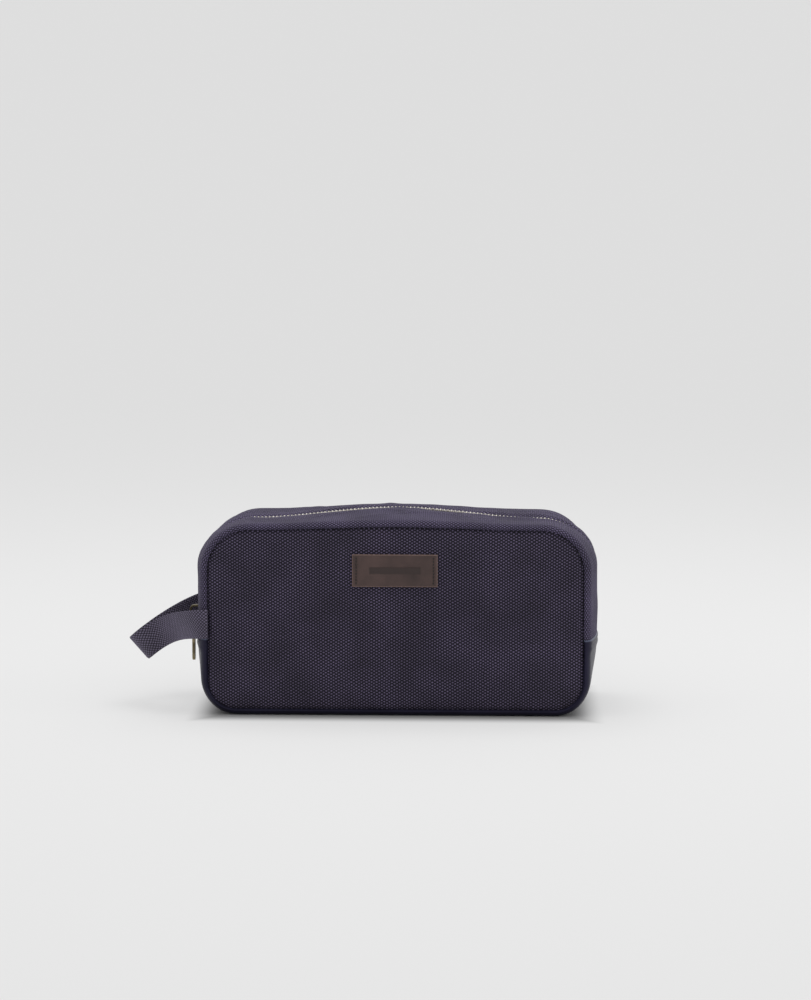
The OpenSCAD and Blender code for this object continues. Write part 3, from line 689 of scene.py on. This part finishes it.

# Seam thread: short pulls across the groove, seen only where the seam is stretched open. It is
# coloured near black as painted shade, so it reads as the seam's own shadow.
seam_shade_thread, tree = new_material("seam thread, near black as painted seam shade")
shader = add(tree, "BsdfPrincipled", in_Roughness=0.7)
shader.inputs["Base Color"].default_value = linear("#100e15")
add(tree, "OutputMaterial", {"Surface": shader.outputs["BSDF"]})
seam_shape = stitch_shape(1.5, 0.5, 0.4)
PULL_FROM, PULL_PITCH = 20, 3.0         # the first pull from the leather, and their spacing
seam = upper_path(LEATHER_TOP, 1.0)
seam_run = along(seam[:, :2])
for half, side in HALVES:
    places = []
    for k in range(int((seam_run[-1] - 2 * PULL_FROM) / PULL_PITCH)):
        i = int(np.interp(PULL_FROM + PULL_PITCH * k, seam_run, np.arange(len(seam))))
        x, z, nx, nz = seam[i]
        places.append(((x, side * (SEAM_Y - SEAM_DIP), z), (nx, 0, nz), (0, side, 0)))
    seam_thread = sew(half + "_seam_thread", seam_shape, places, seam_shade_thread)
    bends(seam_thread)

# --- Lining ----------------------------------------------------------------------------------
# A plain grey polyester lining, loose inside the canvas and leather. It only shows when the
# zip is open.
lining_cloth = woven("grey polyester lining, plain weave", "#4a4954", "#77757f", (1.0, 1.0),
                     (0.5, 0.5), 0.08, rough=0.7, vary=0.2, sheen=0.2)
LINING_T = 0.8
PANEL_LINING = 2.4          # each lining's face, in from the outer face of what it lines
GUSSET_LINING = 3.35
BASE_LINING = 2.6
PAST_ROLL = ROLL_STEPS // 2             # the lining starts half way round the rolled edge
SAG = 0.35                  # how far the loose cloth waves

for half, side in HALVES:
    skin = panel_mesh(half + "_panel_lining_cloth", side, PANEL_LINING, LINING_T, 3.5, 61 + side,
                      lining_cloth, 0.0)
    bends(skin)
    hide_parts(half + "_lining", half + "_lining_lower")
    path = upper_path(LEATHER_TOP + 0.4, 2.6)
    o, s = section(SEAM_Y - SLOT_HALF - 0.4, 3.0, False)
    o, s = o[PAST_ROLL:], s[PAST_ROLL:]
    sag = SAG * creases(surface(path, o, s, 0), (24, 24, 24), 80 + side) - SAG
    outer = surface(path, o, s, GUSSET_LINING, sag)
    inner = surface(path, o, s, GUSSET_LINING + LINING_T, sag)
    flip = np.array([1, -side, 1])
    u, v = np.meshgrid(along(path[:, :2]), s, indexing="ij")
    strip = grid_mesh(half + "_gusset_lining_cloth", [(outer * flip, inner * flip, u, v)], lining_cloth)
    bends(strip)
    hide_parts(half + "_gusset_lining", half + "_lining_fold")

path = lower_path(LEATHER_TOP - 0.3, 2.6)
o, s = section(SEAM_Y, 4.0, False)
o, s = o[PAST_ROLL:], s[PAST_ROLL:]
o, s_all = np.concatenate([o, o[-2::-1]]), np.concatenate([s, 2 * SEAM_Y - s[-2::-1]])
outer = full_surface(path, o, s_all, BASE_LINING)
inner = full_surface(path, o, s_all, BASE_LINING + LINING_T)
u, v = np.meshgrid(along(path[:, :2]), s_all, indexing="ij")
base_skin = grid_mesh("base_lining_cloth", [(outer, inner, u, v)], lining_cloth)
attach(base_skin, "base")
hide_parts("base_lining")

# --- Zip -------------------------------------------------------------------------------------
# A No. 5 metal zip: two woven tapes, and two rows of stamped brass teeth clamped on their
# edges, which take alternate places. It runs from one leather edge over the crown to the other.
tape_cloth = woven("polyester zip tape, herringbone", "#15131c", "#3c3848", (1.3, 0.9), (0.5, 0.35),
                   0.10, rough=0.75, vary=0.2, sheen=0.1)
TAPE_IN = 2.8               # the tape's edge from the zip's middle
TAPE_W, TAPE_T = 10.0, 0.8
TAPE_DEPTH = 1.9            # it lies under the hem
ZIP_DEPTH = TAPE_DEPTH + TAPE_T / 2
PITCH = 2.6                 # from tooth to tooth in one row
TEETH_LOW_LEFT, TEETH_LOW_RIGHT = 59.2, LEATHER_TOP + 1.6       # the lowest teeth at each end
TEETH_PROUD = 0.6           # the crown pushes the teeth up between the hems

# Pale brass: stamped and tumbled, so it is soft-edged and a little dull, its tone and roughness varying at
# random.
pale_brass, tree = new_material("stamped brass teeth, pale and tumbled")
place = add(tree, "TexCoord")
tarnish = add(tree, "TexNoise", {"Vector": place.outputs["Object"]}, in_Scale=260, in_Detail=4)
tone = add(tree, "ValToRGB", {"Fac": tarnish.outputs["Fac"]})
tone.color_ramp.elements[0].position = 0.3
tone.color_ramp.elements[0].color = linear("#b3aca2")
tone.color_ramp.elements[1].position = 0.7
tone.color_ramp.elements[1].color = linear("#f6f1e8")
rough = add(tree, "MapRange", {"Value": tarnish.outputs["Fac"]}, in_3=0.5, in_4=0.34)
shader = add(tree, "BsdfPrincipled", {"Base Color": tone.outputs["Color"],
                                      "Roughness": rough.outputs["Result"]}, in_Metallic=1.0)
add(tree, "OutputMaterial", {"Surface": shader.outputs["BSDF"]})


def tooth_shape():
    """One tooth at the origin: X up out of the bag, Y from the head back to the tape, Z along the zip."""
    bpy.ops.object.select_all(action="DESELECT")
    bpy.ops.mesh.primitive_cube_add(size=1)
    tooth = bpy.context.object
    tooth.scale = (2.4, 2.7, 1.0)
    tooth.location = (0, 0.85, 0)
    bpy.ops.object.transform_apply(location=True, scale=True)
    for corner in tooth.data.vertices:
        if corner.co.y < 0:
            corner.co.x *= 0.62
    bpy.ops.object.mode_set(mode="EDIT")
    bpy.ops.mesh.select_all(action="SELECT")
    bpy.ops.mesh.bevel(offset=0.22, segments=2, affect="EDGES")
    bpy.ops.object.mode_set(mode="OBJECT")
    points = np.array([p.co for p in tooth.data.vertices])
    faces = [tuple(p.vertices) for p in tooth.data.polygons]
    bpy.data.objects.remove(tooth)
    return points, faces


zip_path = upper_path(LEATHER_TOP, 0.5)
zip_mid = surface(zip_path, np.array([ROLL_W, ROLL_W]), np.array([SEAM_Y - 0.1, SEAM_Y]), ZIP_DEPTH)[:, 1]
zip_run = along(zip_mid)
left_end = np.interp(TEETH_LOW_LEFT, zip_mid[:60, 2], zip_run[:60])
right_end = zip_run[-1] - (TEETH_LOW_RIGHT - LEATHER_TOP)
tooth_places = int((right_end - left_end) / (PITCH / 2))
tooth_points, tooth_faces = tooth_shape()
for half, side in HALVES:
    path = upper_path(LEATHER_TOP + 0.3, 2.6)
    s = np.linspace(SEAM_Y - TAPE_IN - TAPE_W, SEAM_Y - TAPE_IN, 7)
    o = np.full(len(s), ROLL_W)
    outer, inner = surface(path, o, s, TAPE_DEPTH), surface(path, o, s, TAPE_DEPTH + TAPE_T)
    flip = np.array([1, -side, 1])
    u, v = np.meshgrid(along(path[:, :2]), s, indexing="ij")
    tape = grid_mesh(half + "_tape_cloth", [(outer * flip, inner * flip, u, v)], tape_cloth)
    bends(tape)
    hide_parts(half + "_zip_tape", "zip_tape_fold")
    verts, faces = [], []
    for k in range(tooth_places):
        if k % 2 == (0 if side < 0 else 1):
            continue
        at = left_end + (k + 0.5) * (right_end - left_end) / tooth_places
        p = np.array([np.interp(at, zip_run, zip_mid[:, c]) for c in range(3)])
        q = np.array([np.interp(at + 0.2, zip_run, zip_mid[:, c]) for c in range(3)])
        forward = (q - p) / np.linalg.norm(q - p)
        up = np.array([-forward[2], 0, forward[0]])
        across = np.array([0, side, 0])
        start = len(verts)
        body = tooth_points[:, 0:1] * up + tooth_points[:, 1:2] * across + tooth_points[:, 2:3] * forward
        proud = TEETH_PROUD * smooth((p[2] - SEAM_TOP) / 6)
        verts.extend(map(tuple, body + np.array([p[0], 0, p[2] + proud])))
        faces.extend(tuple(i + start for i in f) for f in tooth_faces)
    teeth = new_piece(half + "_brass_teeth", verts, faces, pale_brass)
    face_outwards(teeth, 40)
    bends(teeth)
    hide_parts(half + "_zip_teeth", half + "_zip_teeth_leg", "zip_teeth_fold")

# --- Slider and puller -----------------------------------------------------------------------
# The slider is die-cast brass with an arched bridge on its outer plate. The puller's eye goes
# round the low end of the bridge, and its long flat blade hangs down the end of the bag.
antique_brass, tree = new_material("die-cast brass, antiqued and rubbed")
place = add(tree, "TexCoord")
wear = add(tree, "TexNoise", {"Vector": place.outputs["Object"]}, in_Scale=180, in_Detail=5)
brushed = add(tree, "TexNoise", {"Vector": place.outputs["Object"]}, in_Scale=1400, in_Detail=2)
tone = add(tree, "ValToRGB", {"Fac": wear.outputs["Fac"]})
tone.color_ramp.elements[0].position = 0.32
tone.color_ramp.elements[0].color = linear("#4a4334")
tone.color_ramp.elements[1].position = 0.68
tone.color_ramp.elements[1].color = linear("#8f8468")
rough = add(tree, "MapRange", {"Value": wear.outputs["Fac"]}, in_3=0.45, in_4=0.2)
bump = add(tree, "Bump", {"Height": brushed.outputs["Fac"]}, in_Strength=0.15, in_Distance=0.0001)
shader = add(tree, "BsdfPrincipled", {"Base Color": tone.outputs["Color"],
                                      "Roughness": rough.outputs["Result"],
                                      "Normal": bump.outputs["Normal"]}, in_Metallic=1.0)
add(tree, "OutputMaterial", {"Surface": shader.outputs["BSDF"]})


def softened(node, name, width_mm, material, body):
    """A copy of a CAD node with its edges rounded, standing for the node."""
    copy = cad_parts[node].copy()
    copy.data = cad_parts[node].data.copy()
    copy.name, copy.data.name = name, name
    copy.parent = None
    copy.matrix_world = Matrix.Identity(4)
    bpy.context.collection.objects.link(copy)
    copy.data.materials.clear()
    copy.data.materials.append(material)
    select_only(copy)
    bpy.ops.object.mode_set(mode="EDIT")
    bpy.ops.mesh.select_all(action="SELECT")
    bpy.ops.mesh.remove_doubles(threshold=0.000005)
    bpy.ops.mesh.dissolve_limited(angle_limit=math.radians(2))
    bpy.ops.object.mode_set(mode="OBJECT")
    rounding = copy.modifiers.new("rounding", "BEVEL")
    rounding.width = width_mm * MM
    rounding.segments = 3
    rounding.limit_method = "ANGLE"
    rounding.angle_limit = math.radians(35)
    bpy.ops.object.modifier_apply(modifier="rounding")
    bpy.ops.object.shade_smooth_by_angle(angle=math.radians(40))
    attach(copy, body)
    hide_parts(node)


softened("slider", "brass_slider", 0.28, antique_brass, "slider")
softened("puller", "brass_puller", 0.4, antique_brass, "puller")

# --- Patch -----------------------------------------------------------------------------------
# A die-cut rectangle of brown vegetable-tanned leather with a plain pressed bar, sewn down by
# one short row of waxed thread at each end.
PATCH = [Vector(c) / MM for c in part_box("patch")]
PATCH_W, PATCH_H, PATCH_T = PATCH[1].x - PATCH[0].x, 22.0, 1.6
PATCH_Z = (PATCH[0].z + PATCH[1].z) / 2
BAR_W, BAR_H, BAR_DEPTH = 0.6 * PATCH_W, 0.2 * PATCH_H, 0.55
ROW_IN = 2.7                # stitch rows from the patch's ends
CUT_EDGE = 0.45             # width of the rounded cut edge, and of its pale colour, partly raw fibre and partly painted highlight
RIM, CREASE, ROW_GROOVE = 0.10, 0.16, 0.22      # the bar's raised rim, the creased border, the rows

# Vegetable-tanned leather: matt brown, with painted shade darkening the pressed bar for the shade in its
# recess, and paler at the cut edges, partly where the raw fibre shows and partly as a painted highlight.
brown_leather, tree = new_material("vegetable-tanned leather, brown, matt, with cut edges")
place = add(tree, "TexCoord")
uv = add(tree, "UVMap", uv_map="cloth_mm")
sides = add(tree, "SeparateXYZ", {"Vector": uv.outputs["UV"]})


def band(side, half, soft):
    """1 inside that half width of the patch's middle, 0 outside, along one side of its map."""
    size = add(tree, "Math", {0: sides.outputs[side]}, operation="ABSOLUTE")
    ramp = add(tree, "MapRange", {"Value": size.outputs[0]}, in_1=half + soft, in_2=half - soft)
    return ramp.outputs["Result"]


in_bar = add(tree, "Math", {0: band("X", BAR_W / 2, 0.4), 1: band("Y", BAR_H / 2, 0.4)},
             operation="MULTIPLY")
inside = add(tree, "Math", {0: band("X", PATCH_W / 2 - CUT_EDGE, 0.15),
                            1: band("Y", PATCH_H / 2 - CUT_EDGE, 0.15)}, operation="MULTIPLY")
grain = add(tree, "TexVoronoi", {"Vector": place.outputs["Object"]}, feature="SMOOTH_F1", in_Scale=1300)
marks = add(tree, "TexNoise", {"Vector": place.outputs["Object"]}, in_Scale=60, in_Detail=5)
tone = add(tree, "ValToRGB", {"Fac": marks.outputs["Fac"]})
tone.color_ramp.elements[0].position = 0.3
tone.color_ramp.elements[0].color = linear("#2f1e1b")
tone.color_ramp.elements[1].position = 0.75
tone.color_ramp.elements[1].color = linear("#4e3935")
# painted shade: the pressed bar is coloured darker, standing for the shade in its recess
painted_bar_shade = add(tree, "Mix", {"Factor": in_bar.outputs[0], 6: tone.outputs["Color"]}, data_type="RGBA")
painted_bar_shade.inputs[7].default_value = linear("#2c1c19")
# partly painted highlight: near the edges the colour turns pale, for the raw fibre and for light on the
# edge
edged = add(tree, "Mix", {"Factor": inside.outputs[0], 7: painted_bar_shade.outputs[2]}, data_type="RGBA")
edged.inputs[6].default_value = linear("#6f5850")
bump = add(tree, "Bump", {"Height": grain.outputs["Distance"]}, in_Strength=0.3, in_Distance=0.0003)
shader = add(tree, "BsdfPrincipled", {"Base Color": edged.outputs[2], "Normal": bump.outputs["Normal"]},
             in_Roughness=0.55)
add(tree, "OutputMaterial", {"Surface": shader.outputs["BSDF"]})

low, high = bow(0.0, PATCH_Z - PATCH_H / 2), bow(0.0, PATCH_Z + PATCH_H / 2)
LEAN = math.atan((low - high) / PATCH_H)
x, z = np.meshgrid(np.linspace(-PATCH_W / 2, PATCH_W / 2, 141),
                   np.linspace(-PATCH_H / 2, PATCH_H / 2, 67), indexing="ij")
to_edge = np.minimum(PATCH_W / 2 - np.abs(x), PATCH_H / 2 - np.abs(z))
rounded = CUT_EDGE * (1 - np.sqrt(np.clip(1 - (1 - np.clip(to_edge / 0.5, 0, 1)) ** 2, 0, 1)))
to_bar = np.maximum(np.abs(x) - BAR_W / 2, np.abs(z) - BAR_H / 2)
pressed = BAR_DEPTH * (1 - smooth((to_bar + 0.25) / 0.7)) - RIM * np.exp(-((to_bar - 0.9) / 0.5) ** 2)
creased = CREASE * np.exp(-((to_edge - 1.4) / 0.3) ** 2)
rows = ROW_GROOVE * np.exp(-((np.abs(x) - (PATCH_W / 2 - ROW_IN)) / 0.6) ** 2)
rows = rows * smooth((PATCH_H / 2 - np.abs(z)) / 1.5)
front = PATCH_T - rounded - pressed - creased - rows


def on_panel(out):
    """Points out from the patch's back face, leaned back with the panel behind it."""
    y = -out * math.cos(LEAN) - z * math.sin(-LEAN)
    up = -out * math.sin(-LEAN) + z * math.cos(LEAN)
    return np.stack([x, y - SEAM_Y - bow(0.0, PATCH_Z) - 2 * GAP, up + PATCH_Z], -1)


patch = grid_mesh("leather_patch", [(on_panel(front), on_panel(np.zeros_like(x)), x, z)], brown_leather)
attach(patch, "front_half")
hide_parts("patch")

# Waxed linen thread: dark brown, with a slight wax shine on its twist.
waxed, tree = new_material("waxed linen thread, dark brown")
place = add(tree, "TexCoord")
twist = add(tree, "TexWave", {"Vector": place.outputs["Object"]}, in_Scale=1000, bands_direction="DIAGONAL")
tone = add(tree, "ValToRGB", {"Fac": twist.outputs["Fac"]})
tone.color_ramp.elements[0].color = linear("#0c0706")
tone.color_ramp.elements[1].color = linear("#17100e")
shader = add(tree, "BsdfPrincipled", {"Base Color": tone.outputs["Color"]}, in_Roughness=0.5)
add(tree, "OutputMaterial", {"Surface": shader.outputs["BSDF"]})
softened("patch_stitches", "patch_thread", 0.18, waxed, "front_half")

# --- Hand loop -------------------------------------------------------------------------------
# One length of 20 mm polypropylene webbing, its ends sewn into the front and back seams at the
# left end. It stands out on edge, droops and turns back on itself at the far end.
webbing = woven("polypropylene webbing, indigo, plain weave", "#181420", "#776e86", (2.4, 2.2),
                (0.95, 0.85), 0.35, rough=0.7, vary=0.35, sheen=0.3)
WEB_W, WEB_T = 20.0, 1.4
LOOP_R = 10.0               # radius of the turn at the far end
LOOP_REACH, LOOP_DROP = 54.0, 25.0      # how far it stands out from the seam, and droops there
DROOP = 1.9                 # how late along the loop the droop sets in
LOOP_RUN = LOOP_REACH - LOOP_R
LOOP_Z = LEATHER_TOP + 10.15            # height of the sewn ends' middle
LOOP_OUT = SEAM_Y + GAP + WEB_T / 2 + 0.3


def sideways(u):
    """The leg's distance from the bag's middle plane, at u from the seam."""
    return LOOP_R + (LOOP_OUT - LOOP_R) * np.cos(math.pi / 2 * np.minimum(1, u / LOOP_RUN)) ** 2


def loop_line(step):
    """The webbing's middle line: reach, sideways place, and its plan normal."""
    u = np.arange(0, LOOP_RUN, step)
    slope = (sideways(u + 0.5) - sideways(u - 0.5))
    k = np.hypot(1, slope)
    leg = np.stack([u, sideways(u), -slope / k, 1 / k], 1)
    a = np.linspace(0, math.pi, 26)
    bend = np.stack([LOOP_RUN + LOOP_R * np.sin(a), LOOP_R * np.cos(a), np.sin(a), np.cos(a)], 1)
    back = leg[::-1] * np.array([1, -1, 1, -1])
    return np.vstack([leg, bend, back])


line = loop_line(1.4)
across = np.linspace(-1, 1, 17)
edge_round = np.sqrt(np.clip(1 - np.clip((np.abs(across) - 0.9) / 0.1, 0, 1) ** 2 * 0.8, 0, 1))


def web_face(out):
    """One face of the webbing: out is 1 for the outer face and -1 for the inner."""
    u = line[:, None, 0] + out * line[:, None, 2] * WEB_T / 2 * edge_round
    y = line[:, None, 1] + out * line[:, None, 3] * WEB_T / 2 * edge_round
    reach = np.maximum(0, line[:, None, 0])
    f = np.arctan(DROOP * LOOP_DROP / LOOP_REACH * (reach / LOOP_REACH) ** (DROOP - 1))
    w = across[None, :] * WEB_W / 2
    drop = LOOP_DROP * (reach / LOOP_REACH) ** DROOP
    return np.stack([-HALF_W - u - w * np.sin(f), -y, LOOP_Z - drop + w * np.cos(f)], -1)


outer, inner = web_face(1), web_face(-1)
u, v = np.meshgrid(along(line[:, :2]), across * WEB_W / 2, indexing="ij")
loop_web = grid_mesh("webbing_loop", [(outer, inner, u, v)], webbing)
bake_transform(loop_web)
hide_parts("hand_loop", "loop_end_front", "loop_end_back")
